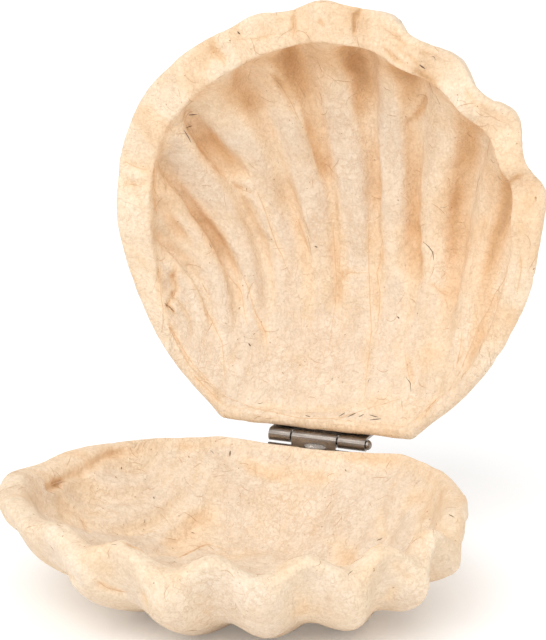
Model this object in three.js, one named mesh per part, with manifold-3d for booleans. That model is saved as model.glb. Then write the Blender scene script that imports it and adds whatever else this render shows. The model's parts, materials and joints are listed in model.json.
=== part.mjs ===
// Hinged scallop shell box in papier-mache, standing open. Millimetres, +Z up, front towards -Y.
// The origin is the centre of the flat foot. In the shell functions u runs along the hinge line,
// v runs forward from it and depth runs away from the plane where the two valves meet.
import * as THREE from 'three';
import { mergeVertices } from 'three/addons/utils/BufferGeometryUtils.js';
import Module from 'manifold-3d';

// Both valves
const SHELL_WIDTH = 120;
const SHELL_LENGTH = 115;
const RIM_GAP = 0.6;
const RIM_WAVE = 2.1;
const RIM_WARP = 1.6;
const BACK_BAND = 4;

// Base valve
const BASE_HEIGHT = 27.5;
const BASE_FOOT_CUT = 3;
const FOOT_SKIN = 0.05;
const BASE_BAND = 8;
const BASE_FLOOR_WALL = 7;
const BASE_RIM_ROUND = 3;
const BASE_INNER_ROUND = 2;
const BASE_RIB = 2.6;
const BASE_CHANNEL = 1;
const BASE_LOBE = 0.6;

// Lid valve
const LID_BOWL_DEPTH = 31;
const LID_BAND = 9.2;
const LID_BAND_SWELL = 1.8;
const LID_CROWN_WALL = 5.5;
const LID_RIM_ROUND = 2.2;
const LID_INNER_ROUND = 1;
const LID_RIB = 1;
const LID_CHANNEL = 1.8;
const LID_LOBE = 0.9;

// Butt hinge
const HINGE_WIDTH = 27.2;
const HINGE_SHIFT = 0.9;
const LEAF_THICKNESS = 0.7;
const LEAF_REACH = 11.5;
const BARREL_DIAMETER = 3.6;
const PIN_DIAMETER = 1.6;
const PIN_CLEARANCE = 0.3;
const BORE_OVERRUN = 1;
const PIN_HEAD_DIAMETER = 2.8;
const PIN_HEAD_LENGTH = 1.2;
const LEFT_KNUCKLE = 6.1;
const RIGHT_KNUCKLE = 7.6;
const KNUCKLE_GAP = 0.5;
const PIECE_GAP = 0.3;
const OPEN_ANGLE = 90;

// Hinge nails
const NAIL_SPACING = 14.8;
const NAIL_DROP = 7;
const NAIL_SHANK_DIAMETER = 1.2;
const NAIL_HEAD_DIAMETER = 3;
const NAIL_HEAD_HEIGHT = 0.8;
const NAIL_DEPTH = 4.5;
const NAIL_CLEARANCE = 0.3;

// Mesh fineness
const COLUMNS = 90;
const WALL_RINGS = 9;
const ROUND_SIDES = 24;
const NAIL_SIDES = 12;

const DEG = Math.PI / 180;

// The outline of both valves, as shares of the half width against the angle from the front
const OUTLINE = [
  [0, 0.91], [20, 0.899], [40, 0.912], [60, 0.962], [80, 0.993], [100, 0.992],
  [120, 1.0], [140, 1.035], [150, 1.055], [158, 1.1], [168, 1.12], [180, 1.12],
];
const MIDDLE_SHARE = 0.522;
const UMBO_SHARE = 0.207;
const OUTLINE_LEAN = 0.01;
const FRONT_LOOSENESS = 0.3;
const SIDE_POWER = 1.9;
const FRONT_POWER = 2.65;
const BACK_POWER = 2.4;
const STEEPEST_ANGLE = 28;
const INNER_UMBO_SHARE = 0.25;
const INNER_BACK_SLOPE = 0.75;
const TRIM_FROM_ANGLE = 100;
const TRIM_TO_ANGLE = 150;
const BAND_SWELL_ANGLE = 50;
const BACK_SOFTNESS = 1;
const OUTER_ROUND_SHARE = 0.55;
const INNER_ROUND_SHARE = 0.4;
const RIB_START = 0.12;
const RIB_FULL = 0.38;

// The ribs follow a fan of hyperbolas: centre and focus as shares of the shell, one angle for each rib
const FAN_ACROSS = 0.318;
const FAN_FORWARD = 0.187;
const FAN_FOCUS = 1.03;
const FAN_RIM_SHIFT = 4;
const BASE_RIBS = [-73, -61, -49, -37.5, -26, -12.3, -1, 10.8, 20.5, 27, 34, 46];
const LID_RIBS = [-71, -61, -50.5, -40.6, -29.5, -20.4, -10.4, -2.2, 9.2, 20, 31, 43];

// Height of the line where the valves meet, as shares of the warp, against the angle from the front
const RIM_SWEEP = [
  [-180, -0.75], [-165, -0.75], [-150, -0.55], [-135, 0], [-120, 0.6], [-108, 0.6], [-98, 0.1],
  [-87, 1.35], [-60, 0.8], [-25, 0.25], [0, 0], [30, -0.5], [60, 0], [90, 0.5], [120, 1],
  [150, 0.5], [165, -0.3], [180, -0.75],
];

// How much of each lobe cuts into the outline at its rib
const BASE_NOTCHES = [1, 1, 1, 1, 1, 1, 1, 1, 1, 1, 1, 1];
const LID_NOTCHES = [1, 1, 1, 0.8, 0.8, 1, 0.15, 0.6, 1, 1, 0.8, 0.8];

// Towards the left the ribs are calmer
const CALM_SHARE = 0.3;
const CALM_FROM_ANGLE = -18;
const CALM_TO_ANGLE = -34;

const halfWidth = SHELL_WIDTH / 2;
const acrossUnit = halfWidth;
const forwardUnit = SHELL_LENGTH * (1 - MIDDLE_SHARE) / OUTLINE[0][1];
const rimMiddle = SHELL_LENGTH * MIDDLE_SHARE;
const umbo = SHELL_LENGTH * UMBO_SHARE;
const innerUmbo = SHELL_LENGTH * INNER_UMBO_SHARE;
const barrelRadius = BARREL_DIAMETER / 2;
const boreRadius = PIN_DIAMETER / 2 + PIN_CLEARANCE;
const axisBehindWall = barrelRadius + PIECE_GAP;

const wasm = await Module();
wasm.setup();

// Smooth curve through [x, y] knots, level at both ends
function curveAt(knots, x) {
  const last = knots.length - 1;
  let i = 0;
  while (i < last - 1 && x > knots[i + 1][0]) {
    i += 1;
  }
  const slope = (k) => {
    if (k === 0 || k === last) {
      return 0;
    }
    return (knots[k + 1][1] - knots[k - 1][1]) / (knots[k + 1][0] - knots[k - 1][0]);
  };
  const [x0, y0] = knots[i];
  const [x1, y1] = knots[i + 1];
  const width = x1 - x0;
  const s = (x - x0) / width;
  const rise = s * s * (3 - 2 * s);
  const bend0 = s * (1 - s) * (1 - s) * width * slope(i);
  const bend1 = s * s * (s - 1) * width * slope(i + 1);
  return y0 + (y1 - y0) * rise + bend0 + bend1;
}

function smooth(low, high, x) {
  return THREE.MathUtils.smoothstep(x, low, high);
}

// Angle of the hyperbola through a point, in degrees: less than zero to the left
function fanAngle(u, v, out) {
  const focus = FAN_FOCUS * halfWidth;
  const across = u - FAN_ACROSS * halfWidth;
  const forward = Math.max(v - FAN_FORWARD * SHELL_LENGTH, 0);
  const spread = Math.hypot(across + focus, forward) - Math.hypot(across - focus, forward);
  const sine = THREE.MathUtils.clamp(spread / (2 * focus), -1, 1);
  return Math.asin(sine) / DEG - FAN_RIM_SHIFT * out * out * out;
}

// 0 on the first rib line, 1 on the second, and so on
function ribNumber(ribs, angle) {
  let i = 0;
  while (i < ribs.length - 2 && angle > ribs[i + 1]) {
    i += 1;
  }
  return i + (angle - ribs[i]) / (ribs[i + 1] - ribs[i]);
}

// 1 on the rib lines and -1 midway between them, fading past the first and the last rib
function ribWave(ribs, number) {
  const last = ribs.length - 1;
  const fade = smooth(-0.5, 0.2, number) * (1 - smooth(last - 0.2, last + 0.5, number));
  return fade * Math.cos(2 * Math.PI * number);
}

// On the rim and outside, the ribs are weaker at the left
function outsideWave(ribs, u, v, out) {
  const angle = fanAngle(u, v, out);
  const calm = THREE.MathUtils.lerp(CALM_SHARE, 1, smooth(CALM_TO_ANGLE, CALM_FROM_ANGLE, angle));
  return calm * ribWave(ribs, ribNumber(ribs, angle));
}

// Lobes of a valve's outline
function lobeSize(valve, across, forward) {
  const v = rimMiddle + forward;
  const number = ribNumber(valve.ribs, fanAngle(across, v, 1));
  const nearest = THREE.MathUtils.clamp(Math.round(number), 0, valve.ribs.length - 1);
  const wave = outsideWave(valve.ribs, across, v, 1);
  return valve.lobe * rimFade(v) * ((1 + wave) * valve.notches[nearest] - 1);
}

// The ribs start some way in front of the hinge and fade towards the deepest point
function ribFade(v, out) {
  return smooth(RIB_START * SHELL_LENGTH, RIB_FULL * SHELL_LENGTH, v) * smooth(0.12, 0.55, out);
}

// The lobes of the outline and the wave of the rim are left to the front and the sides
function rimFade(v) {
  return smooth(0.3 * SHELL_LENGTH, 0.62 * SHELL_LENGTH, v);
}

// Straight hinge line: nothing reaches behind v = 0, with a soft corner
function clipBack(v) {
  if (v >= BACK_SOFTNESS) {
    return v;
  }
  if (v <= -BACK_SOFTNESS) {
    return 0;
  }
  return (v + BACK_SOFTNESS) ** 2 / (4 * BACK_SOFTNESS);
}

// Outline point of a column before the hinge line cuts it, relative to the middle of the rim
function outlineReach(angle) {
  const share = curveAt(OUTLINE, Math.abs(angle) / DEG) - OUTLINE_LEAN * Math.sin(angle);
  return [Math.sin(angle) * share * acrossUnit, Math.cos(angle) * share * forwardUnit];
}

// Flat width of the rim: broader at the lid's left front, and narrow at the hinge line
function bandWidth(valve, angle) {
  const trim = smooth(TRIM_FROM_ANGLE, TRIM_TO_ANGLE, Math.abs(angle) / DEG);
  const band = valve.band + valve.bandSwell * Math.cos(angle + BAND_SWELL_ANGLE * DEG);
  return THREE.MathUtils.lerp(band, BACK_BAND, trim);
}

// Radii of the rim's outer and inner edge, which its width limits
function edgeRounds(valve, angle) {
  const band = bandWidth(valve, angle);
  return [
    Math.min(valve.rimRound, OUTER_ROUND_SHARE * band),
    Math.min(valve.innerRound, INNER_ROUND_SHARE * band),
  ];
}

const baseValve = {
  side: -1,
  ribs: BASE_RIBS,
  notches: BASE_NOTCHES,
  bowlDepth: BASE_HEIGHT + BASE_FOOT_CUT,
  wall: BASE_FLOOR_WALL,
  rimRound: BASE_RIM_ROUND,
  innerRound: BASE_INNER_ROUND,
  band: BASE_BAND,
  bandSwell: 0,
  rib: BASE_RIB,
  ribSink: 0.3 * BASE_RIB,
  lobe: BASE_LOBE,
  channel: BASE_CHANNEL,
};

const lidValve = {
  side: 1,
  ribs: LID_RIBS,
  notches: LID_NOTCHES,
  bowlDepth: LID_BOWL_DEPTH,
  wall: LID_CROWN_WALL,
  rimRound: LID_RIM_ROUND,
  innerRound: LID_INNER_ROUND,
  band: LID_BAND,
  bandSwell: LID_BAND_SWELL,
  rib: -LID_RIB,
  ribSink: LID_RIB,
  lobe: -LID_LOBE,
  channel: LID_CHANNEL,
};

// How far the rim of a column lies below the middle of the wavy line where the valves meet. The
// line is low on the ribs of the base, and sweeps up at both sides of the hinge.
function rimDepth(valve, angle) {
  const [across, forward] = outlineReach(angle);
  const v = rimMiddle + forward;
  const sweep = curveAt(RIM_SWEEP, angle / DEG);
  const wave = rimFade(v) * outsideWave(BASE_RIBS, across, v, 1);
  return valve.side * (RIM_WARP * sweep - RIM_WAVE * wave) + RIM_GAP / 2;
}

// One point of the rim, a distance in from the outline, at a depth below the rim surface. The
// lobes of the outline fade out across the rim.
function rimPoint(valve, angle, inset, below) {
  const [across, forward] = outlineReach(angle);
  const clipped = clipBack(rimMiddle + forward) - rimMiddle;
  const cut = forward < 0 ? clipped / forward : 1;
  const reach = Math.hypot(across * cut, clipped);
  const lobe = lobeSize(valve, across, forward) * (1 - inset / bandWidth(valve, angle));
  const share = cut * (1 + (lobe - inset) / reach);
  const u = across * share;
  const v = rimMiddle + forward * share;
  return [u, v, rimDepth(valve, angle) + below];
}

// Outline of one valve before the hinge line cuts it, with its lobes, from the middle of the rim
function lobedReach(valve, angle) {
  const [across, forward] = outlineReach(angle);
  const lobe = lobeSize(valve, across, forward);
  return [across + lobe * Math.sin(angle), forward + lobe * Math.cos(angle)];
}

// A bowl's wall stands steeper at its front, a little to the right, and at its back than at its
// sides
function outerPower(angle) {
  const steep = smooth(0, 1, Math.cos(angle - STEEPEST_ANGLE * DEG));
  const power = THREE.MathUtils.lerp(SIDE_POWER, FRONT_POWER, steep);
  return THREE.MathUtils.lerp(power, BACK_POWER, smooth(0, 1, -Math.cos(angle)));
}

// Share of the way out and of the way down along a bowl's profile, for a turn from 0 to a quarter
function bowlProfile(power, turn) {
  return [Math.sin(turn) ** (2 / power), Math.cos(turn) ** (2 / power)];
}

// The turn at which the profile is still a given share of the depth below the rim
function turnAtDrop(power, drop) {
  return Math.acos(drop ** (power / 2));
}

// Outer wall of a valve
function outerPoint(valve, angle, turn) {
  const [out, drop] = bowlProfile(outerPower(angle), turn);
  const [across, forward] = lobedReach(valve, angle);
  const middle = THREE.MathUtils.lerp(umbo, rimMiddle, out);
  const u = across * out;
  const v = middle + forward * out;
  const wave = outsideWave(valve.ribs, u, v, out);
  const swell = (valve.rib * wave - valve.ribSink) * ribFade(v, out) * smooth(0, 0.35, drop);
  const flat = out * out;
  return [
    u + swell * flat * Math.sin(angle),
    clipBack(v + swell * flat * Math.cos(angle)),
    valve.bowlDepth * drop + swell * (1 - flat) + rimDepth(valve, angle) * (1 - drop) ** 2,
  ];
}

// The turn at which a valve's inner wall ends at the rounded edge of its rim
function innerEnd(valve, angle) {
  const innerRound = edgeRounds(valve, angle)[1];
  return turnAtDrop(outerPower(angle), innerRound / (valve.bowlDepth - valve.wall));
}

// Inner wall: it slopes up more gently to the hinge line, it is rounder than the edge of the rim
// towards the deepest point, and the channels are narrower than the ridges between them
function innerPoint(valve, angle, turn) {
  const power = outerPower(angle);
  const [out, down] = bowlProfile(power, turn);
  const [outEnd, downEnd] = bowlProfile(power, innerEnd(valve, angle));
  const steep = (down - downEnd) / (1 - downEnd);
  const gentle = 1 - smooth(0, outEnd, out);
  const drop = THREE.MathUtils.lerp(steep, gentle, INNER_BACK_SLOPE * smooth(0, 1, -Math.cos(angle)));
  const band = bandWidth(valve, angle);
  const edge = rimPoint(valve, angle, band, 0);
  const share = Math.min(curveAt(OUTLINE, Math.abs(angle) / DEG), 1);
  const nearEdge = smooth(0.3, 1, out);
  const across = THREE.MathUtils.lerp(Math.sin(angle) * (share * acrossUnit - band), edge[0], nearEdge);
  const forward = THREE.MathUtils.lerp(
    Math.cos(angle) * (share * forwardUnit - band), edge[1] - rimMiddle, nearEdge);
  const u = across * out;
  const v = THREE.MathUtils.lerp(innerUmbo, rimMiddle, out) + forward * out;
  const wave = ribWave(valve.ribs, ribNumber(valve.ribs, fanAngle(u, v, out)));
  const groove = 2 * ((1 + wave) / 2) ** 1.5 - 0.8;
  const cut = valve.channel * ribFade(v, out) * groove * smooth(0, 0.3, drop);
  const flat = out * out;
  const innerRound = edgeRounds(valve, angle)[1];
  const below = THREE.MathUtils.lerp(innerRound, valve.bowlDepth - valve.wall, drop);
  return [
    u + cut * flat * Math.sin(angle),
    v + cut * flat * Math.cos(angle),
    below + cut * (1 - flat) + rimDepth(valve, angle) * (1 - drop) ** 2,
  ];
}

// Rings of one column, from the deepest outer point over the rim to the deepest inner point
function columnPoints(valve, angle) {
  const points = [];
  const [rimRound, innerRound] = edgeRounds(valve, angle);
  const outerEnd = turnAtDrop(outerPower(angle), rimRound / valve.bowlDepth);
  for (let i = 1; i <= WALL_RINGS; i += 1) {
    points.push(outerPoint(valve, angle, outerEnd * i / WALL_RINGS));
  }
  for (const turn of [45, 90]) {
    const inset = rimRound * (1 - Math.cos(turn * DEG));
    points.push(rimPoint(valve, angle, inset, rimRound * (1 - Math.sin(turn * DEG))));
  }
  const band = bandWidth(valve, angle);
  for (const turn of [90, 45]) {
    const inset = band - innerRound * (1 - Math.cos(turn * DEG));
    points.push(rimPoint(valve, angle, inset, innerRound * (1 - Math.sin(turn * DEG))));
  }
  for (let i = WALL_RINGS; i >= 1; i -= 1) {
    points.push(innerPoint(valve, angle, innerEnd(valve, angle) * i / WALL_RINGS));
  }
  return points;
}

function solidFrom(positions, triangles) {
  return new wasm.Manifold(new wasm.Mesh({
    numProp: 3,
    vertProperties: Float32Array.from(positions),
    triVerts: Uint32Array.from(triangles),
  }));
}

function solidFromGeometry(geometry) {
  const bare = geometry.clone();
  bare.deleteAttribute('normal');
  bare.deleteAttribute('uv');
  const merged = mergeVertices(bare, 1e-4);
  return solidFrom(merged.attributes.position.array, merged.index.array);
}

function geometryFrom(solid) {
  const mesh = solid.getMesh();
  const geometry = new THREE.BufferGeometry();
  geometry.setAttribute('position', new THREE.BufferAttribute(Float32Array.from(mesh.vertProperties), 3));
  geometry.setIndex(new THREE.BufferAttribute(Uint32Array.from(mesh.triVerts), 1));
  geometry.computeVertexNormals();
  return geometry;
}

// A valve in its closed place, relative to the hinge axis
function valveSolid(valve) {
  const positions = [];
  const triangles = [];
  const addPoint = ([u, v, depth]) => positions.push(u, -v - axisBehindWall, valve.side * depth);
  const addTriangle = (a, b, c) => (valve.side > 0 ? triangles.push(a, b, c) : triangles.push(a, c, b));
  let rings = 0;
  for (let j = 0; j < COLUMNS; j += 1) {
    const turn = 2 * Math.PI * j / COLUMNS;
    const angle = turn - FRONT_LOOSENESS * Math.sin(turn);
    const points = columnPoints(valve, angle > Math.PI ? angle - 2 * Math.PI : angle);
    rings = points.length;
    points.forEach(addPoint);
  }
  const outerTip = COLUMNS * rings;
  const innerTip = outerTip + 1;
  addPoint([0, umbo, valve.bowlDepth]);
  addPoint([0, innerUmbo, valve.bowlDepth - valve.wall]);
  for (let j = 0; j < COLUMNS; j += 1) {
    const here = j * rings;
    const next = ((j + 1) % COLUMNS) * rings;
    addTriangle(outerTip, here, next);
    for (let i = 0; i + 1 < rings; i += 1) {
      addTriangle(here + i, here + i + 1, next + i + 1);
      addTriangle(here + i, next + i + 1, next + i);
    }
    addTriangle(innerTip, next + rings - 1, here + rings - 1);
  }
  return solidFrom(positions, triangles);
}

// A cylinder along X between two places
function barAlong(radius, from, to, sides) {
  const bar = new THREE.CylinderGeometry(radius, radius, to - from, sides);
  bar.rotateZ(Math.PI / 2);
  bar.translate((from + to) / 2, 0, 0);
  return solidFromGeometry(bar);
}

function boxBetween(low, high) {
  const box = new THREE.BoxGeometry(high[0] - low[0], high[1] - low[1], high[2] - low[2]);
  box.translate((low[0] + high[0]) / 2, (low[1] + high[1]) / 2, (low[2] + high[2]) / 2);
  return solidFromGeometry(box);
}

// Hinge stations along X
const hingeLeft = HINGE_SHIFT - HINGE_WIDTH / 2;
const hingeRight = HINGE_SHIFT + HINGE_WIDTH / 2;
const leftKnuckle = [hingeLeft, hingeLeft + LEFT_KNUCKLE];
const rightKnuckle = [hingeRight - RIGHT_KNUCKLE, hingeRight];
const middleKnuckle = [leftKnuckle[1] + KNUCKLE_GAP, rightKnuckle[0] - KNUCKLE_GAP];
const nailPlaces = { left: HINGE_SHIFT - NAIL_SPACING / 2, right: HINGE_SHIFT + NAIL_SPACING / 2 };

// The leaf lies on the back of its wall; its outer face is towards +Y in the closed box
const leafFront = -barrelRadius;
const leafBack = leafFront + LEAF_THICKNESS;

// A hole or shank through the leaf and into the wall
function crossBar(radius, x, depth, from, to, sides) {
  const bar = new THREE.CylinderGeometry(radius, radius, to - from, sides);
  bar.translate(x, (from + to) / 2, depth);
  return solidFromGeometry(bar);
}

function nailHoles(solid, side) {
  const wallFace = -axisBehindWall;
  const deepest = wallFace - NAIL_DEPTH - NAIL_CLEARANCE;
  const radius = NAIL_SHANK_DIAMETER / 2 + NAIL_CLEARANCE;
  let cut = solid;
  for (const x of Object.values(nailPlaces)) {
    cut = cut.subtract(crossBar(radius, x, side * NAIL_DROP, deepest, barrelRadius, NAIL_SIDES));
  }
  return cut;
}

function leafSolid(side, knuckles) {
  const plateTop = barrelRadius + PIECE_GAP;
  const span = (from, to) => (side > 0 ? [from, to] : [-to, -from]);
  const [plateLow, plateHigh] = span(plateTop, LEAF_REACH);
  let leaf = boxBetween([hingeLeft, leafFront, plateLow], [hingeRight, leafBack, plateHigh]);
  for (const [from, to] of knuckles) {
    const [tongueLow, tongueHigh] = span(0, plateTop + LEAF_THICKNESS);
    const tongue = boxBetween([from, leafFront, tongueLow], [to, leafBack, tongueHigh]);
    leaf = leaf.add(tongue).add(barAlong(barrelRadius, from, to, ROUND_SIDES));
  }
  leaf = leaf.subtract(barAlong(boreRadius, hingeLeft - BORE_OVERRUN, hingeRight + BORE_OVERRUN, ROUND_SIDES));
  return nailHoles(leaf, side);
}

// Half profile of a round-headed nail or pin, shank up to zero and head above it
function headedProfile(shankRadius, shankLength, headRadius, headHeight) {
  const points = [new THREE.Vector2(0, -shankLength)];
  points.push(new THREE.Vector2(shankRadius, -shankLength));
  points.push(new THREE.Vector2(shankRadius, 0));
  for (let i = 0; i < 4; i += 1) {
    const turn = i * 90 * DEG / 4;
    points.push(new THREE.Vector2(headRadius * Math.cos(turn), headHeight * Math.sin(turn)));
  }
  points.push(new THREE.Vector2(0, headHeight));
  return points;
}

function nailGeometry(x, side) {
  const seat = leafBack + PIECE_GAP;
  const shank = seat + axisBehindWall + NAIL_DEPTH;
  const profile = headedProfile(
    NAIL_SHANK_DIAMETER / 2, shank, NAIL_HEAD_DIAMETER / 2, NAIL_HEAD_HEIGHT);
  const nail = new THREE.LatheGeometry(profile, NAIL_SIDES);
  nail.translate(x, seat, side * NAIL_DROP);
  return geometryFrom(solidFromGeometry(nail));
}

function pinGeometry() {
  const length = HINGE_WIDTH + PIECE_GAP;
  const profile = headedProfile(
    PIN_DIAMETER / 2, length, PIN_HEAD_DIAMETER / 2, PIN_HEAD_LENGTH);
  const pin = new THREE.LatheGeometry(profile, ROUND_SIDES);
  pin.rotateZ(-Math.PI / 2);
  pin.translate(hingeRight + PIECE_GAP, 0, 0);
  return geometryFrom(solidFromGeometry(pin));
}

function pulp() {
  return new THREE.MeshStandardMaterial({ color: 0xe6c9a4, roughness: 0.93, metalness: 0 });
}

function steel() {
  return new THREE.MeshStandardMaterial({ color: 0x8a7d73, roughness: 0.35, metalness: 1 });
}

function piece(name, geometry, material) {
  const mesh = new THREE.Mesh(geometry, material);
  mesh.name = name;
  return mesh;
}

// Base bowl, cut flat below so that it stands
function baseSolid() {
  const reach = SHELL_WIDTH + SHELL_LENGTH;
  const below = boxBetween([-reach, -reach, -reach], [reach, reach, -BASE_HEIGHT]);
  return nailHoles(valveSolid(baseValve).subtract(below), baseValve.side);
}

// The middle of the flat foot, from the hinge axis
function footCentre(base) {
  const { min, max } = base.slice(-BASE_HEIGHT + FOOT_SKIN).bounds();
  return [(min[0] + max[0]) / 2, (min[1] + max[1]) / 2];
}

const shellBox = new THREE.Group();
const onAxis = new THREE.Group();
const base = baseSolid();
const [footX, footY] = footCentre(base);
onAxis.position.set(-footX, -footY, BASE_HEIGHT);
shellBox.add(onAxis);

onAxis.add(piece('base_shell', geometryFrom(base), pulp()));
onAxis.add(piece('base_hinge_leaf', geometryFrom(leafSolid(-1, [middleKnuckle])), steel()));
onAxis.add(piece('hinge_pin', pinGeometry(), steel()));

// The lid is modelled closed and turned open about the hinge axis
const lid = new THREE.Group();
lid.rotation.x = -OPEN_ANGLE * DEG;
onAxis.add(lid);
lid.add(piece('lid_shell', geometryFrom(nailHoles(valveSolid(lidValve), lidValve.side)), pulp()));
lid.add(piece('lid_hinge_leaf', geometryFrom(leafSolid(1, [leftKnuckle, rightKnuckle])), steel()));

for (const [name, x] of Object.entries(nailPlaces)) {
  onAxis.add(piece(`base_nail_${name}`, nailGeometry(x, -1), steel()));
  lid.add(piece(`lid_nail_${name}`, nailGeometry(x, 1), steel()));
}

export default shellBox;
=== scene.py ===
"""Papier-mache scallop shell box, standing open on a pale floor.

The two valves are rebuilt finely from the same forms as their solids: u runs along the hinge line,
v forward from it, and depth away from the plane where the valves meet. Lengths there are millimetres.
"""
import json
import math

import bpy
import numpy as np
from mathutils import Matrix, Vector
from mathutils.kdtree import KDTree


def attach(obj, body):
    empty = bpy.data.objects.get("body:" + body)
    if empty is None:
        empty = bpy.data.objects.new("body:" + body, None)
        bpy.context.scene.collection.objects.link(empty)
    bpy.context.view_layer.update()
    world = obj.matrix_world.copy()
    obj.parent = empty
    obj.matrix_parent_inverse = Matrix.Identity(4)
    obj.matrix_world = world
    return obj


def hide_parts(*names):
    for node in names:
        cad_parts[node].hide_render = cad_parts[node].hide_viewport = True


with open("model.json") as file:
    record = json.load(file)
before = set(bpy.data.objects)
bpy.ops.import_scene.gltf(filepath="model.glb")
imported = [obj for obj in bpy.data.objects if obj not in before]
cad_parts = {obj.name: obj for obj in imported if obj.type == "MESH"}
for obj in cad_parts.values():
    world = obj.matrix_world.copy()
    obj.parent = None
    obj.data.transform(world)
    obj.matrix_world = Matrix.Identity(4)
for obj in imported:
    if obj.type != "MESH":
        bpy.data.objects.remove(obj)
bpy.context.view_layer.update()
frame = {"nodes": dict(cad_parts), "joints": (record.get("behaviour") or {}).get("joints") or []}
MM = 0.001
JOINT = frame["joints"][0]
AXIS = np.array(JOINT["pos_m"]) / MM

# Both valves
SHELL_WIDTH = 120.0
SHELL_LENGTH = 115.0
RIM_GAP = 0.6
RIM_WAVE = 2.1
RIM_WARP = 1.6
BACK_BAND = 4.0
AXIS_BEHIND_WALL = 2.1
BASE_HEIGHT = AXIS[2]
BASE_FOOT_CUT = 3.0

# The outline of both valves: the angle from the front, and how far out it is there, as a share of
# half the width across and of the forward unit ahead
OUTLINE = [
    (0, 0.91), (20, 0.899), (40, 0.912), (60, 0.962), (80, 0.993), (100, 0.992),
    (120, 1.0), (140, 1.035), (150, 1.055), (158, 1.1), (168, 1.12), (180, 1.12),
]
MIDDLE_SHARE = 0.522
UMBO_SHARE = 0.207
INNER_UMBO_SHARE = 0.25
INNER_BACK_SLOPE = 0.75
OUTLINE_LEAN = 0.01
FRONT_LOOSENESS = 0.3
SIDE_POWER = 1.9
FRONT_POWER = 2.65
BACK_POWER = 2.4
STEEPEST_ANGLE = math.radians(28)
BAND_SWELL_ANGLE = math.radians(50)
TRIM_ANGLES = (100, 150)
BACK_SOFTNESS = 1.0
OUTER_ROUND_SHARE = 0.55
INNER_ROUND_SHARE = 0.4

# The fan of ribs
FAN_ACROSS = 0.318
FAN_FORWARD = 0.187
FAN_FOCUS = 1.03
FAN_RIM_SHIFT = 4.0
BASE_RIBS = [-73, -61, -49, -37.5, -26, -12.3, -1, 10.8, 20.5, 27, 34, 46]
LID_RIBS = [-71, -61, -50.5, -40.6, -29.5, -20.4, -10.4, -2.2, 9.2, 20, 31, 43]
LID_NOTCHES = [1, 1, 1, 0.8, 0.8, 1, 0.15, 0.6, 1, 1, 0.8, 0.8]
CALM_SHARE = 0.3
CALM_ANGLES = (-34, -18)
RIB_FADE_FORWARD = (0.12, 0.38)
RIB_FADE_OUT = (0.12, 0.55)
RIM_FADE = (0.3, 0.62)
RIB_END_FADE = (-0.5, 0.2)

# Height of the line where the valves meet, as shares of the warp, against the angle from the front
RIM_SWEEP = [
    (-180, -0.75), (-165, -0.75), (-150, -0.55), (-135, 0), (-120, 0.6), (-108, 0.6), (-98, 0.1),
    (-87, 1.35), (-60, 0.8), (-25, 0.25), (0, 0), (30, -0.5), (60, 0), (90, 0.5), (120, 1),
    (150, 0.5), (165, -0.3), (180, -0.75),
]

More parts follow.
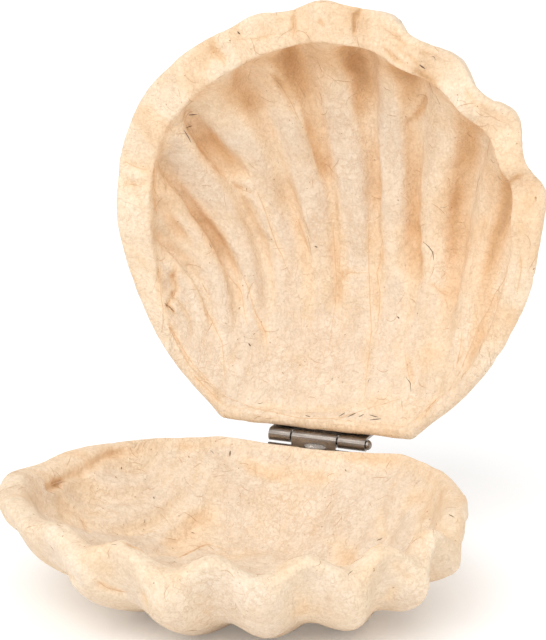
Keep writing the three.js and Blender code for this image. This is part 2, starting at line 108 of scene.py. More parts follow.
# Folds and creases as they lie in the photograph, looked up on the surface: width and depth in
# millimetres, how warm and dark their painted shade is, and the way along them in photo pixels
LID_FOLDS = {
    "left fold": (1.5, 1.4, 0.4, (164, 170), (176, 186), (190, 205), (205, 226), (217, 243), (233, 268),
                  (245, 292)),
    "left fold shade": (3.6, 0.2, 0.25, (182, 200), (205, 218), (218, 240), (226, 255)),
    "tip fold": (1.9, 2.0, 0.45, (157, 197), (170, 220), (182, 238), (190, 252)),
    "upper left hollow": (2.6, 1.3, 0.3, (184, 112), (194, 128), (212, 147), (232, 166), (250, 184)),
    "upper left channel": (3.4, 0.9, 0.35, (196, 132), (220, 154), (243, 174), (258, 190)),
    "upper left border": (0.9, 0.35, 0.25, (208, 162), (230, 182), (248, 192), (264, 196)),
    "second channel": (4.5, 0.4, 0.2, (238, 72), (256, 92), (270, 118)),
    "second crease": (1.2, 0.45, 0.3, (254, 185), (268, 215), (280, 247), (291, 276)),
    "top hollow": (7.0, 0.6, 0.4, (262, 50), (286, 72), (302, 96), (313, 122)),
    "top hollow edge": (1.1, 0.5, 0.35, (267, 70), (280, 88), (292, 108), (300, 122)),
    "middle crease": (1.3, 1.1, 0.35, (302, 100), (318, 147), (330, 200), (335, 267), (336, 300),
                      (328, 353)),
    "middle shade": (3.0, 0.3, 0.3, (308, 108), (322, 150), (330, 188)),
    "deep channel": (3.0, 1.3, 0.4, (357, 48), (363, 75), (365, 98), (363, 115), (368, 132)),
    "deep channel middle": (2.2, 1.4, 0.3, (364, 118), (372, 150), (378, 187), (375, 215), (379, 262)),
    "deep channel foot": (0.9, 0.35, 0.35, (368, 200), (370, 283), (369, 333), (364, 397)),
    "deep channel side": (0.8, 0.3, 0.3, (382, 240), (377, 275), (378, 300), (377, 332)),
    "right channel head": (4.0, 0.7, 0.3, (412, 74), (410, 92), (412, 112)),
    "right channel": (1.6, 1.3, 0.3, (406, 100), (409, 130), (415, 170), (413, 215), (418, 262),
                      (415, 300), (408, 333)),
    "right channel lip": (1.0, 0.6, 0.5, (426, 92), (423, 106), (414, 118), (405, 124)),
    "right channel foot": (0.7, 0.35, 0.5, (405, 353), (409, 372), (412, 388)),
    "fourth channel": (3.0, 1.2, 0.26, (474, 128), (473, 150), (466, 172), (459, 195), (455, 215)),
    "fourth channel foot": (1.6, 1.1, 0.26, (462, 180), (457, 210), (451, 245), (451, 272), (455, 302)),
    "fourth side": (0.8, 0.3, 0.4, (428, 280), (438, 290), (450, 297)),
    "fifth channel": (1.8, 0.9, 0.24, (504, 178), (506, 205), (497, 235), (484, 270), (472, 300)),
    "right flank": (1.2, 0.35, 0.3, (508, 262), (495, 300), (478, 340), (465, 370), (446, 395)),
    "right flank crease": (0.7, 0.3, 0.4, (462, 328), (463, 350), (455, 374)),
    "torn edge": (0.9, 0.9, 0.7, (176, 258), (173, 275), (178, 290), (170, 302), (162, 307)),
    "torn corner": (0.6, 0.4, 1.0, (165, 302), (170, 307), (175, 313)),
    "lip at the left": (1.0, 0.6, 0.3, (160, 312), (178, 340), (195, 368), (212, 386), (226, 397)),
    "lip at the hinge": (1.1, 0.6, 0.3, (220, 394), (250, 405), (300, 410), (340, 408), (375, 402),
                         (402, 398)),
    "lip seam": (0.8, 0.4, 0.6, (192, 373), (207, 388), (222, 404)),
    "lip corner": (0.9, 0.4, 0.4, (440, 396), (424, 412), (411, 425)),
    "step": (0.7, 0.4, 0.5, (341, 284), (343, 275), (352, 271), (368, 273)),
    "lower left crease": (0.8, 0.35, 0.4, (222, 262), (228, 275), (238, 288), (243, 305), (249, 327)),
    "lower middle crease": (0.8, 0.4, 0.4, (240, 270), (250, 290), (256, 310), (266, 330), (272, 364)),
    "outer left crease": (0.8, 0.3, 0.4, (200, 296), (212, 320), (222, 342), (225, 380)),
    "short crease": (0.7, 0.25, 0.3, (297, 218), (303, 235), (308, 250)),
    "left seam": (0.8, 0.35, 0.4, (158, 150), (156, 176), (156, 200), (159, 226)),
    "left seam foot": (0.8, 0.35, 0.4, (160, 262), (161, 290), (164, 320)),
    "rim seam left": (1.1, 0.5, 0.35, (119, 148), (126, 163), (140, 168), (157, 172)),
    "rim fold left": (1.2, 0.4, 0.2, (115, 186), (135, 183), (152, 188)),
    "rim shade left": (2.4, 0.4, 0.4, (130, 106), (145, 114), (168, 130), (182, 134)),
    "rim fold upper left": (1.2, 0.4, 0.4, (212, 36), (214, 52), (224, 62), (229, 70)),
    "rim shade upper left": (3.0, 0.25, 0.35, (190, 50), (202, 58), (214, 70)),
    "rim line": (0.6, 0.2, 0.35, (238, 40), (258, 38), (276, 34)),
    "rim seam top": (0.8, 0.4, 0.5, (294, 8), (296, 22), (292, 40)),
    "rim mark": (0.9, 0.2, 0.5, (316, 21), (325, 27)),
    "rim seam right": (0.7, 0.4, 0.6, (364, 8), (356, 16), (355, 40)),
    "rim crease right": (0.8, 0.35, 0.4, (384, 28), (402, 43), (426, 52), (448, 62)),
    "rim crease inner": (0.9, 0.35, 0.45, (382, 46), (400, 60), (420, 74), (440, 92)),
    "rim crease middle": (0.7, 0.3, 0.5, (396, 45), (410, 56), (422, 68)),
    "rim fold right": (1.0, 0.4, 0.35, (464, 86), (478, 108), (492, 118), (507, 124)),
    "rim hook right": (0.8, 0.35, 0.5, (496, 168), (505, 184), (518, 180), (530, 171)),
    "rim crease lower right": (0.7, 0.3, 0.4, (520, 250), (521, 272), (517, 292)),
    "rim crease lower left": (0.8, 0.25, 0.3, (127, 260), (133, 276), (141, 292)),
}
BASE_FOLDS = {
    "pocket": (1.3, 1.7, 0.8, (46, 488), (51, 485), (57, 483), (66, 482)),
    "left crevice": (1.2, 0.8, 0.22, (58, 484), (80, 473), (95, 465), (105, 456), (125, 451), (140, 453)),
    "left crevice shade": (3.6, 0.4, 0.16, (92, 460), (115, 453), (140, 455), (160, 461)),
    "left hollow": (4.0, 0.9, 0.25, (48, 488), (56, 500), (72, 508), (95, 514), (122, 512)),
    "left lip": (0.9, 0.5, 0.3, (78, 513), (85, 524), (88, 534)),
    "left lip outer": (1.0, 0.4, 0.3, (54, 513), (60, 527), (77, 534)),
    "front left edge": (1.2, 0.6, 0.5, (120, 533), (135, 545), (150, 553), (168, 561)),
    "long fold": (2.8, 1.2, 0.4, (222, 504), (198, 518), (178, 538), (160, 548)),
    "under the hinge": (2.4, 1.3, 0.55, (238, 446), (246, 461), (260, 469), (300, 478), (326, 480),
                        (348, 470)),
    "back line": (1.2, 0.2, 0.2, (172, 448), (200, 446), (232, 444)),
    "back shade": (2.4, 0.2, 0.3, (345, 452), (375, 458), (405, 464)),
    "right fold": (1.6, 0.9, 0.4, (376, 494), (382, 512), (381, 530), (376, 542)),
    "right line": (0.8, 0.25, 0.2, (388, 494), (399, 479), (411, 464)),
    "right shade": (3.5, 0.6, 0.3, (415, 482), (419, 500), (427, 518)),
    "front hollow": (2.8, 0.5, 0.5, (318, 536), (338, 546), (348, 560), (354, 574)),
    "front hollow side": (1.0, 0.3, 0.4, (360, 552), (370, 546), (384, 541)),
    "right rim crease": (1.2, 0.4, 0.3, (404, 538), (422, 533), (438, 526), (450, 530)),
    "left lobe edge": (0.9, 0.35, 0.35, (172, 560), (190, 551), (208, 543), (224, 549)),
    "middle lobe edge": (0.9, 0.4, 0.35, (238, 560), (254, 570), (268, 571), (273, 588)),
    "step below": (1.5, 0.7, 0.45, (58, 566), (70, 577), (86, 590)),
    "outer fold": (1.3, 0.6, 0.35, (94, 578), (106, 589), (120, 594), (130, 592)),
    "outer bend": (1.6, 0.5, 0.1, (80, 542), (82, 560), (96, 577)),
    "outer step": (1.6, 0.9, 0.35, (134, 588), (143, 600), (150, 616)),
    "valley": (3.2, 0.3, 0.4, (296, 586), (304, 602), (308, 618)),
    "right wall dent": (1.6, 0.8, 0.25, (394, 562), (399, 574), (414, 584)),
    "right wall fold": (1.4, 0.5, 0.3, (382, 602), (390, 592), (400, 586)),
}

# Loose dark fibres and flecks that show in the photograph: thickness and the way along them in pixels
LID_MARKS = {
    "fleck top left": (0.3, (238, 32), (240, 34)),
    "fibre top right": (0.34, (419, 64), (425, 68)),
    "fleck lower left": (0.26, (249, 344), (251, 346)),
    "curved fibre": (0.16, (424, 242), (429, 246), (432, 252), (434, 260)),
    "fibre at the tear": (0.2, (164, 303), (169, 307), (174, 312)),
    "fleck right": (0.24, (397, 316), (399, 318)),
    "fleck middle": (0.2, (315, 246), (317, 247)),
    "fleck rim": (0.18, (306, 416), (310, 417)),
    "dash one": (0.12, (340, 417), (346, 413)),
    "dash two": (0.12, (348, 417), (355, 413)),
    "dash three": (0.12, (358, 417), (365, 414)),
    "dash four": (0.14, (369, 415), (379, 417)),
    "dash five": (0.12, (371, 420), (381, 419)),
    "foot fibre": (0.14, (406, 376), (410, 384), (411, 391)),
    "hollow fibre one": (0.16, (186, 128), (192, 127)),
    "hollow fibre two": (0.14, (189, 116), (197, 114)),
    "hollow fibre three": (0.14, (184, 130), (188, 137), (191, 142)),
}
BASE_MARKS = {
    "fleck back": (0.3, (229, 451), (230, 456)),
    "fleck left": (0.24, (153, 497), (155, 499)),
    "fleck crevice": (0.2, (121, 467), (122, 469)),
    "fibre right": (0.2, (449, 515), (454, 518)),
    "fleck hinge": (0.2, (346, 470), (347, 472)),
    "fibre front": (0.14, (191, 532), (196, 534)),
    "fleck lip": (0.18, (89, 525), (90, 527)),
    "fibre right fold": (0.16, (377, 541), (382, 538)),
}

# What sets the valves apart. The ribs, the sinking of the valleys between them, the lobes of the
# outline, the channels inside and the crease at their bottom are heights in millimetres.
BASE = dict(side=-1, ribs=BASE_RIBS, notches=[1] * len(BASE_RIBS), bowl=BASE_HEIGHT + BASE_FOOT_CUT,
            wall=7.0, rim_round=3.0, inner_round=2.0, band=8.0, swell=0.0,
            rib=2.6, sink=0.78, lobe=0.6, channel=1.0, crease=0.3,
            folds=BASE_FOLDS, marks=BASE_MARKS, softness=60, shade_and_tone=0.15, seed=11)
LID = dict(side=1, ribs=LID_RIBS, notches=LID_NOTCHES, bowl=31.0,
           wall=5.5, rim_round=2.2, inner_round=1.0, band=9.2, swell=1.8,
           rib=-1.0, sink=1.0, lobe=-0.9, channel=1.8, crease=0.8,
           folds=LID_FOLDS, marks=LID_MARKS, softness=8, shade_and_tone=0.28, seed=37)

# The photograph's view of the hinge axis
YAW = math.radians(19.3)
ELEVATION = math.radians(13.5)
ROLL = math.radians(1.7)
IMAGE_HEIGHT = 640
FOCAL_PIXELS = 3200
MM_PER_PIXEL = 0.2684
HINGE_PIXELS = (45.5, -119.0)
HINGE_POINT_X = 1.0
IMAGE_MIDDLE = (273, 320)
REACH_PIXELS = 3.0
FRONT_LAYER = 4.0

# Mesh fineness
COLUMNS = 600
OUTER_RINGS = 44
ROUND_RINGS = 6
BAND_RINGS = 16
EDGE_RINGS = 6
INNER_RINGS = 90
INNER_START = OUTER_RINGS + ROUND_RINGS + BAND_RINGS + EDGE_RINGS
SOFT_EDGE_START = (-14, -4)
SOFT_EDGE_END = (12, 26)
INSIDE_START = (0, 12)
RIM_START = (-4, 2)
FOLD_SIDE_BLEND = 6

# Hand-laid pulp, in millimetres: lumps and streaks by size and height, and creases by size and depth
LUMPS = [(12.0, 0.3), (5.5, 0.17), (2.6, 0.09), (1.3, 0.05)]
CREASES = [(15.0, 0.3), (8.0, 0.2)]
CREASE_LINE = 0.07
STREAKS = [(2.2, 0.28), (1.1, 0.16)]
STREAK_PITCH = (0.8, 0.12, 0.12)
FLOW_PITCH = (0.55, 0.22, 0.22)
FAN_LEVEL = 0.6
RIM_CALM = 0.4
RIM_SHRINK = 0.16
CREASE_WARP = (0.35, 0.6)
CREASE_PATCH = 1.7
CREASE_FADE = (-0.1, 0.5)
FOOT_CALM_HEIGHT = 1.5
FOOT_SOFTNESS = 0.8

# Folds wander off their way, vary in strength, have a low lip, and run in and out along their length
FOLD_WANDER = 0.8
FOLD_WANDERS = [(7.0, 1.0), (2.4, 0.4)]
FOLD_VARIES = (6.0, 0.45)
FOLD_LIP = 0.14
FOLD_RUN_IN = (-0.05, 0.25)
FOLD_RUN_OUT = (0.7, 1.05)
FOLD_SHADE_WIDTH = 1.15

# How much warmer and darker each place is: painted shade in the hollows, on the lid's crown and right flank
# and in the folds, and darker tone on the rim and in patches
HOLLOW_SHADE = 0.1
CROWN_SHADOW = 0.45
RIM_TINT = 0.17
FLANK_SHADE = 0.18
TOP_TINT = 0.15
FOLD_SHADE = 0.8
CROWN_FROM_TO = (78, 108)
TOP_FROM_TO = (88, 108)
FLANK_FROM_TO = (5, 40)
PATCHES = [(17.0, 1.0), (7.0, 0.6)]
CHANNEL_WAVE = (-0.2, 1.0)
HOLLOW_WAVE = (-0.3, -1.0)
HOLLOW_LEVEL = 0.9
PATCH_FROM_TO = (-0.35, 0.9)
FLANK_INSIDE = (0.3, 0.8)

# A groove deeper than the shallow measure is held back so that the least wall is left behind it
GROOVE_SHALLOW = 0.5
LEAST_WALL = 1.6
WALL_FAR = 20.0
WALL_STEP = 3

# Fibres, marks and the edges of paper sheets, whose lines along creases also draw painted shade, in
# millimetres: count, radius and lengths of the fibres
PALE_FIBRES = (170, 0.06, (2.0, 6.0))
DARK_FIBRES = (9, 0.055, (1.0, 3.0))
FIBRE_FIRST_ROW = 14
FIBRE_LAST_ROWS = 16
FIBRE_CURL = 1.1
FIBRE_STEPS = 9
FIBRE_LIFT = 0.03
MARK_LIFT = 0.04
SHEET_EDGE_FOLD = 1.3
SHEET_EDGE_STEP = 3
SHEET_EDGE_DRIFT = 0.45
SHEET_EDGE_LIFT = 0.02
SHEET_EDGE_RADII = (0.09, 0.17)

# The drop of glue, from the hinge axis
GLUE_PLACE = (0.6, -AXIS_BEHIND_WALL - 0.1, -1.75)
GLUE_RADII = (3.1, 1.3, 0.85)
GLUE_SWELL = 0.12
GLUE_RINGS = 16
GLUE_COLUMNS = 32

# Colours: the pulp from its palest to its darkest tone, the darker end mostly painted shade, then what lies
# in and on it
PULP_TONES_AND_SHADE = [(0.0, (0.8, 0.688, 0.565, 1)), (0.22, (0.855, 0.72, 0.56, 1)),
              (0.42, (0.855, 0.672, 0.485, 1)), (0.75, (0.76, 0.525, 0.32, 1)),
              (1.0, (0.58, 0.36, 0.195, 1))]
BLOTCH_COLOR = (0.965, 0.925, 0.88, 1)
MOTTLE_COLOR = (0.93, 0.885, 0.83, 1)
STREAK_COLOR = (0.975, 0.935, 0.885, 1)
THREAD_COLOR = (0.69, 0.45, 0.255, 1)
FLECK_COLOR = (0.45, 0.32, 0.22, 1)
OCHRE_COLOR = (0.58, 0.37, 0.2, 1)
SHEET_EDGE_AND_CREASE_SHADE_COLOR = (0.76, 0.535, 0.335, 1)
BROWN_COLOR = (0.15, 0.09, 0.05, 1)
GLUE_COLOR = (0.94, 0.9, 0.85, 1)
DARK_STEEL = (0.16, 0.135, 0.118, 1)
PALE_STEEL = (0.4, 0.355, 0.315, 1)
STEEL_CORNER = math.radians(35)
FIBRE_ROUGHNESS = 0.8

# Studio
SENSOR = 36.0
CAMERA_REACH = 20.0
FLOOR_SIZE = 6.0
FLOOR_COLOR = (0.95, 0.95, 0.95, 1)
FLOOR_GLOW = 0.1
STUDIO_LIGHT = 0.9
KEY_LIGHT = 1.22
KEY_SOFTNESS = math.radians(45)
KEY_DIRECTION = (0.05, 0.9, -0.88)

HALF_WIDTH = SHELL_WIDTH / 2
FORWARD_UNIT = SHELL_LENGTH * (1 - MIDDLE_SHARE) / OUTLINE[0][1]
RIM_MIDDLE = SHELL_LENGTH * MIDDLE_SHARE
UMBO = SHELL_LENGTH * UMBO_SHARE
INNER_UMBO = SHELL_LENGTH * INNER_UMBO_SHARE


def curve_at(knots, x):
    """Smooth curve through [x, y] knots, level at both ends."""
    xs, ys = np.array(knots, float).T
    slopes = np.zeros(len(xs))
    slopes[1:-1] = (ys[2:] - ys[:-2]) / (xs[2:] - xs[:-2])
    i = np.clip(np.searchsorted(xs, x, side="left") - 1, 0, len(xs) - 2)
    width = xs[i + 1] - xs[i]
    s = (x - xs[i]) / width
    rise = s * s * (3 - 2 * s)
    bend = s * (1 - s) ** 2 * width * slopes[i] + s * s * (s - 1) * width * slopes[i + 1]
    return ys[i] + (ys[i + 1] - ys[i]) * rise + bend


def smooth(low, high, x):
    t = np.clip((x - low) / (high - low), 0, 1)
    return t * t * (3 - 2 * t)


def mix(a, b, t):
    return a + (b - a) * t


def fan_angle(u, v, out):
    """Angle of the hyperbola through a point, in degrees: less than zero to the left."""
    focus = FAN_FOCUS * HALF_WIDTH
    across = u - FAN_ACROSS * HALF_WIDTH
    forward = np.maximum(v - FAN_FORWARD * SHELL_LENGTH, 0)
    spread = np.hypot(across + focus, forward) - np.hypot(across - focus, forward)
    return np.degrees(np.arcsin(np.clip(spread / (2 * focus), -1, 1))) - FAN_RIM_SHIFT * out ** 3


def rib_number(ribs, angle):
    """0 on the first rib line, 1 on the second, and so on."""
    ribs = np.array(ribs, float)
    i = np.clip(np.searchsorted(ribs, angle, side="left") - 1, 0, len(ribs) - 2)
    return i + (angle - ribs[i]) / (ribs[i + 1] - ribs[i])


def rib_wave(ribs, number):
    """1 on the rib lines and -1 midway between them, fading past the first and the last rib."""
    last = len(ribs) - 1
    fade = smooth(*RIB_END_FADE, number) * smooth(*RIB_END_FADE, last - number)
    return fade * np.cos(2 * np.pi * number)


def outside_wave(ribs, u, v, out):
    """On the rim and outside, the ribs are weaker at the left."""
    angle = fan_angle(u, v, out)
    return mix(CALM_SHARE, 1, smooth(*CALM_ANGLES, angle)) * rib_wave(ribs, rib_number(ribs, angle))


def rib_fade(v, out):
    """The ribs start some way in front of the hinge and fade towards the deepest point."""
    return smooth(*RIB_FADE_FORWARD, v / SHELL_LENGTH) * smooth(*RIB_FADE_OUT, out)


def rim_fade(v):
    """The lobes and the wave of the rim are left to the front and the sides."""
    return smooth(*RIM_FADE, v / SHELL_LENGTH)


def clip_back(v):
    """Straight hinge line: nothing reaches behind v = 0, with a soft corner."""
    k = BACK_SOFTNESS
    return np.where(v >= k, v, np.where(v <= -k, 0, (v + k) ** 2 / (4 * k)))


def lobe_size(valve, across, forward):
    """Lobes of a valve's outline."""
    v = RIM_MIDDLE + forward
    number = rib_number(valve["ribs"], fan_angle(across, v, 1.0))
    nearest = np.clip(np.floor(number + 0.5).astype(int), 0, len(valve["ribs"]) - 1)
    wave = outside_wave(valve["ribs"], across, v, 1.0)
    return valve["lobe"] * rim_fade(v) * ((1 + wave) * np.array(valve["notches"])[nearest] - 1)


def outline_share(angle):
    return curve_at(OUTLINE, np.degrees(np.abs(angle)))


def outline_reach(angle):
    share = outline_share(angle) - OUTLINE_LEAN * np.sin(angle)
    return np.sin(angle) * share * HALF_WIDTH, np.cos(angle) * share * FORWARD_UNIT


def band_width(valve, angle):
    band = valve["band"] + valve["swell"] * np.cos(angle + BAND_SWELL_ANGLE)
    return mix(band, BACK_BAND, smooth(*TRIM_ANGLES, np.degrees(np.abs(angle))))


def edge_rounds(valve, angle):
    """Radii of the rim's outer and inner edge, which its width limits."""
    band = band_width(valve, angle)
    outer = np.minimum(valve["rim_round"], OUTER_ROUND_SHARE * band)
    return outer, np.minimum(valve["inner_round"], INNER_ROUND_SHARE * band)


def rim_depth(valve, angle):
    """Depth of the rim, away from the plane where the valves meet."""
    across, forward = outline_reach(angle)
    v = RIM_MIDDLE + forward
    sweep = curve_at(RIM_SWEEP, np.degrees(angle))
    wave = rim_fade(v) * outside_wave(BASE_RIBS, across, v, 1.0)
    return valve["side"] * (RIM_WARP * sweep - RIM_WAVE * wave) + RIM_GAP / 2


def rim_points(valve, angle, inset, below):
    across, forward = outline_reach(angle)
    clipped = clip_back(RIM_MIDDLE + forward) - RIM_MIDDLE
    cut = np.where(forward < 0, clipped / np.where(forward < 0, forward, 1), 1)
    reach = np.hypot(across * cut, clipped)
    lobe = lobe_size(valve, across, forward) * (1 - inset / band_width(valve, angle))
    share = cut * (1 + (lobe - inset) / reach)
    return across * share, RIM_MIDDLE + forward * share, rim_depth(valve, angle) + below


def lobed_reach(valve, angle):
    across, forward = outline_reach(angle)
    lobe = lobe_size(valve, across, forward)
    return across + lobe * np.sin(angle), forward + lobe * np.cos(angle)


def outer_power(angle):
    power = mix(SIDE_POWER, FRONT_POWER, smooth(0, 1, np.cos(angle - STEEPEST_ANGLE)))
    return mix(power, BACK_POWER, smooth(0, 1, -np.cos(angle)))


def bowl_profile(power, turn):
    """Share of the way out and of the way down along a bowl's profile."""
    return np.sin(turn) ** (2 / power), np.cos(turn) ** (2 / power)


def turn_at_drop(power, drop):
    return np.arccos(drop ** (power / 2))


def outer_points(valve, angle, turn):
    out, drop = bowl_profile(outer_power(angle), turn)
    across, forward = lobed_reach(valve, angle)
    middle = mix(UMBO, RIM_MIDDLE, out)
    u = across * out
    v = middle + forward * out
    wave = outside_wave(valve["ribs"], u, v, out)
    swell = (valve["rib"] * wave - valve["sink"]) * rib_fade(v, out) * smooth(0, 0.35, drop)
    flat = out * out
    depth = valve["bowl"] * drop + swell * (1 - flat) + rim_depth(valve, angle) * (1 - drop) ** 2
    return u + swell * flat * np.sin(angle), clip_back(v + swell * flat * np.cos(angle)), depth


def inner_end(valve, angle):
    """The turn at which the inner wall ends at the rounded edge of the rim."""
    return turn_at_drop(outer_power(angle), edge_rounds(valve, angle)[1] / (valve["bowl"] - valve["wall"]))


def inner_points(valve, angle, turn):
    power = outer_power(angle)
    out, down = bowl_profile(power, turn)
    out_end, down_end = bowl_profile(power, inner_end(valve, angle))
    steep = (down - down_end) / (1 - down_end)
    gentle = 1 - smooth(0, out_end, out)
    drop = mix(steep, gentle, INNER_BACK_SLOPE * smooth(0, 1, -np.cos(angle)))
    band = band_width(valve, angle)
    edge_u, edge_v, _ = rim_points(valve, angle, band, 0)
    share = np.minimum(outline_share(angle), 1)
    near_edge = smooth(0.3, 1, out)
    across = mix(np.sin(angle) * (share * HALF_WIDTH - band), edge_u, near_edge)
    forward = mix(np.cos(angle) * (share * FORWARD_UNIT - band), edge_v - RIM_MIDDLE, near_edge)
    u = across * out
    v = mix(INNER_UMBO, RIM_MIDDLE, out) + forward * out
    wave = rib_wave(valve["ribs"], rib_number(valve["ribs"], fan_angle(u, v, out)))
    groove = 2 * ((1 + wave) / 2) ** 1.5 - 0.8 + valve["crease"] * ((1 + wave) / 2) ** 5
    cut = valve["channel"] * rib_fade(v, out) * groove * smooth(0, 0.3, drop)
    flat = out * out
    depth = mix(edge_rounds(valve, angle)[1], valve["bowl"] - valve["wall"], drop) + cut * (1 - flat)
    depth = depth + rim_depth(valve, angle) * (1 - drop) ** 2
    return u + cut * flat * np.sin(angle), v + cut * flat * np.cos(angle), depth


def lattice_value(ix, iy, iz, seed):
    h = (ix * 374761393 + iy * 668265263 + iz * 1440662683 + seed * 974711) & 0xFFFFFFFF
    h = ((h ^ (h >> 13)) * 1274126177) & 0xFFFFFFFF
    return ((h ^ (h >> 16)) & 0xFFFF) / 32767.5 - 1


def noise(points, size, seed):
    """Smooth value noise from -1 to 1 with lumps of the given size."""
    p = points / size
    cell = np.floor(p).astype(np.int64)
    t = p - cell
    t = t * t * (3 - 2 * t)
    total = np.zeros(len(points))
    for corner in np.ndindex(2, 2, 2):
        weight = np.prod(np.where(corner, t, 1 - t), axis=1)
        total += weight * lattice_value(*(cell + corner).T, seed)
    return total


def place(valve, u, v, depth):
    """Points of a valve in the scene: the base as it lies, the lid turned open by a right angle."""
    if valve["side"] < 0:
        return np.stack([u, -v - AXIS_BEHIND_WALL, -depth], -1) + AXIS
    return np.stack([u, depth, v + AXIS_BEHIND_WALL], -1) + AXIS


def ring_grid(valve):
    """Rows of points from the deepest outer point over the rim to the deepest inner point."""
    turn = 2 * np.pi * np.arange(COLUMNS) / COLUMNS
    angle = turn - FRONT_LOOSENESS * np.sin(turn)
    angle = np.where(angle > np.pi, angle - 2 * np.pi, angle)
    rim_round, inner_round = edge_rounds(valve, angle)
    rows = []
    outer_end = turn_at_drop(outer_power(angle), rim_round / valve["bowl"])
    for i in range(1, OUTER_RINGS + 1):
        rows.append(outer_points(valve, angle, outer_end * i / OUTER_RINGS))
    for i in range(1, ROUND_RINGS + 1):
        bend = math.radians(90) * i / ROUND_RINGS
        inset = rim_round * (1 - math.cos(bend))
        rows.append(rim_points(valve, angle, inset, rim_round * (1 - math.sin(bend))))
    inner_start = band_width(valve, angle) - inner_round
    for i in range(1, BAND_RINGS + 1):
        rows.append(rim_points(valve, angle, mix(rim_round, inner_start, i / BAND_RINGS), 0))
    for i in range(1, EDGE_RINGS + 1):
        bend = math.radians(90) * i / EDGE_RINGS
        inset = inner_start + inner_round * math.sin(bend)
        rows.append(rim_points(valve, angle, inset, inner_round * (1 - math.cos(bend))))
    end = inner_end(valve, angle)
    for i in range(INNER_RINGS - 1, 0, -1):
        rows.append(inner_points(valve, angle, end * i / INNER_RINGS))
    return np.array(rows)


def add_object(name, data):
    item = bpy.data.objects.new(name, data)
    bpy.context.scene.collection.objects.link(item)
    return item


def add_piece(name, vertices, faces):
    """A mesh object, from points in millimetres."""
    mesh = bpy.data.meshes.new(name)
    mesh.from_pydata((np.asarray(vertices) * MM).tolist(), [], faces)
    mesh.validate()
    mesh.update()
    return add_object(name, mesh)


def shade_smooth(mesh):
    mesh.polygons.foreach_set("use_smooth", [True] * len(mesh.polygons))


def grid_mesh(name, points, tips, inward):
    """Closed mesh of rings of points with a tip at each end."""
    rings, columns = points.shape[:2]
    vertices = np.concatenate([points.reshape(-1, 3), np.array(tips)])
    ring = np.arange(rings - 1)[:, None] * columns
    here = ring + np.arange(columns)[None, :]
    following = ring + (np.arange(columns)[None, :] + 1) % columns
    quads = np.stack([here, here + columns, following + columns, following], -1).reshape(-1, 4)
    first = np.arange(columns)
    after = (first + 1) % columns
    last = (rings - 1) * columns
    tip = rings * columns
    fans = [np.stack([np.full(columns, tip), first, after], -1),
            np.stack([np.full(columns, tip + 1), last + after, last + first], -1)]
    faces = quads.tolist() + fans[0].tolist() + fans[1].tolist()
    if inward:
        faces = [face[::-1] for face in faces]
    return add_piece(name, vertices, faces)


def vertex_values(mesh, field):
    values = np.zeros(len(mesh.vertices) * 3)
    mesh.vertices.foreach_get(field, values)
    return values.reshape(-1, 3)


def distance_to_path(points, path):
    """Distance from each point to a path of straight stretches, and the share of the path there."""
    path = np.array(path, float)
    lengths = np.linalg.norm(path[1:] - path[:-1], axis=1)
    nearest = np.full(len(points), np.inf)
    share = np.zeros(len(points))
    passed = 0.0
    for start, end, length in zip(path[:-1], path[1:], lengths):
        t = np.clip((points - start) @ (end - start) / length ** 2, 0, 1)
        distance = np.linalg.norm(points - start - t[:, None] * (end - start), axis=1)
        closer = distance < nearest
        nearest = np.where(closer, distance, nearest)
        share = np.where(closer, (passed + t * length) / lengths.sum(), share)
        passed += length
    return nearest, share


def view_axes():
    """Place of the camera in millimetres, and its right, up and backward directions."""
    tilt = math.cos(ELEVATION)
    back = np.array([math.sin(YAW) * tilt, -math.cos(YAW) * tilt, math.sin(ELEVATION)])
    level = np.array([math.cos(YAW), math.sin(YAW), 0.0])
    upright = np.cross(back, level)
    right = math.cos(ROLL) * level + math.sin(ROLL) * upright
    up = math.cos(ROLL) * upright - math.sin(ROLL) * level
    hinge = AXIS + np.array([HINGE_POINT_X, 0, 0])
    place_mm = hinge + MM_PER_PIXEL * (FOCAL_PIXELS * back - HINGE_PIXELS[0] * right - HINGE_PIXELS[1] * up)
    return place_mm, right, up, back


def in_photo(points):
    """Pixels of points in the photograph, and their distance from the camera."""
    origin, right, up, back = view_axes()
    distance = -(points - origin) @ back
    x = IMAGE_MIDDLE[0] + FOCAL_PIXELS * ((points - origin) @ right) / distance
    y = IMAGE_MIDDLE[1] - FOCAL_PIXELS * ((points - origin) @ up) / distance
    return x, y, distance


def find_way(seen, way):
    """Numbers of the points in front that show at the pixels of a way."""
    x, y, distance = seen
    found = []
    for pixel_x, pixel_y in way:
        miss = np.hypot(x - pixel_x, y - pixel_y)
        reach = max(REACH_PIXELS, miss.min() + 1)
        front = distance[miss < reach].min()
        miss = np.where(distance < front + FRONT_LAYER, miss, np.inf)
        found.append(int(miss.argmin()))
    return found


def noises(points, layers, seed):
    """Noise of several sizes, each at its own height."""
    return sum(height * noise(points, size, seed + k) for k, (size, height) in enumerate(layers))


def noise_vector(points, size, seed):
    return np.stack([noise(points, size, seed + k) for k in range(3)], -1)


def opposite_side(points, rows, asked):
    """How far each asked point is from the other side of the wall, in millimetres."""
    walls = [rows < OUTER_RINGS, rows > INNER_START]
    room = np.full(len(asked), WALL_FAR)
    for here, there in (walls, walls[::-1]):
        chosen = np.flatnonzero(there)[::WALL_STEP]
        tree = KDTree(len(chosen))
        for k in chosen:
            tree.insert(points[k], int(k))
        tree.balance()
        for n in np.flatnonzero(here[asked]):
            room[n] = tree.find(points[asked[n]])[2]
    return room


def keep_wall(dents, points, rows):
    """Deep grooves leave a wall behind them."""
    deep = np.flatnonzero(dents < -GROOVE_SHALLOW)
    room = np.maximum(opposite_side(points, rows, deep) - LEAST_WALL, GROOVE_SHALLOW)
    dents[deep] = -room * np.tanh(-dents[deep] / room)
    return dents


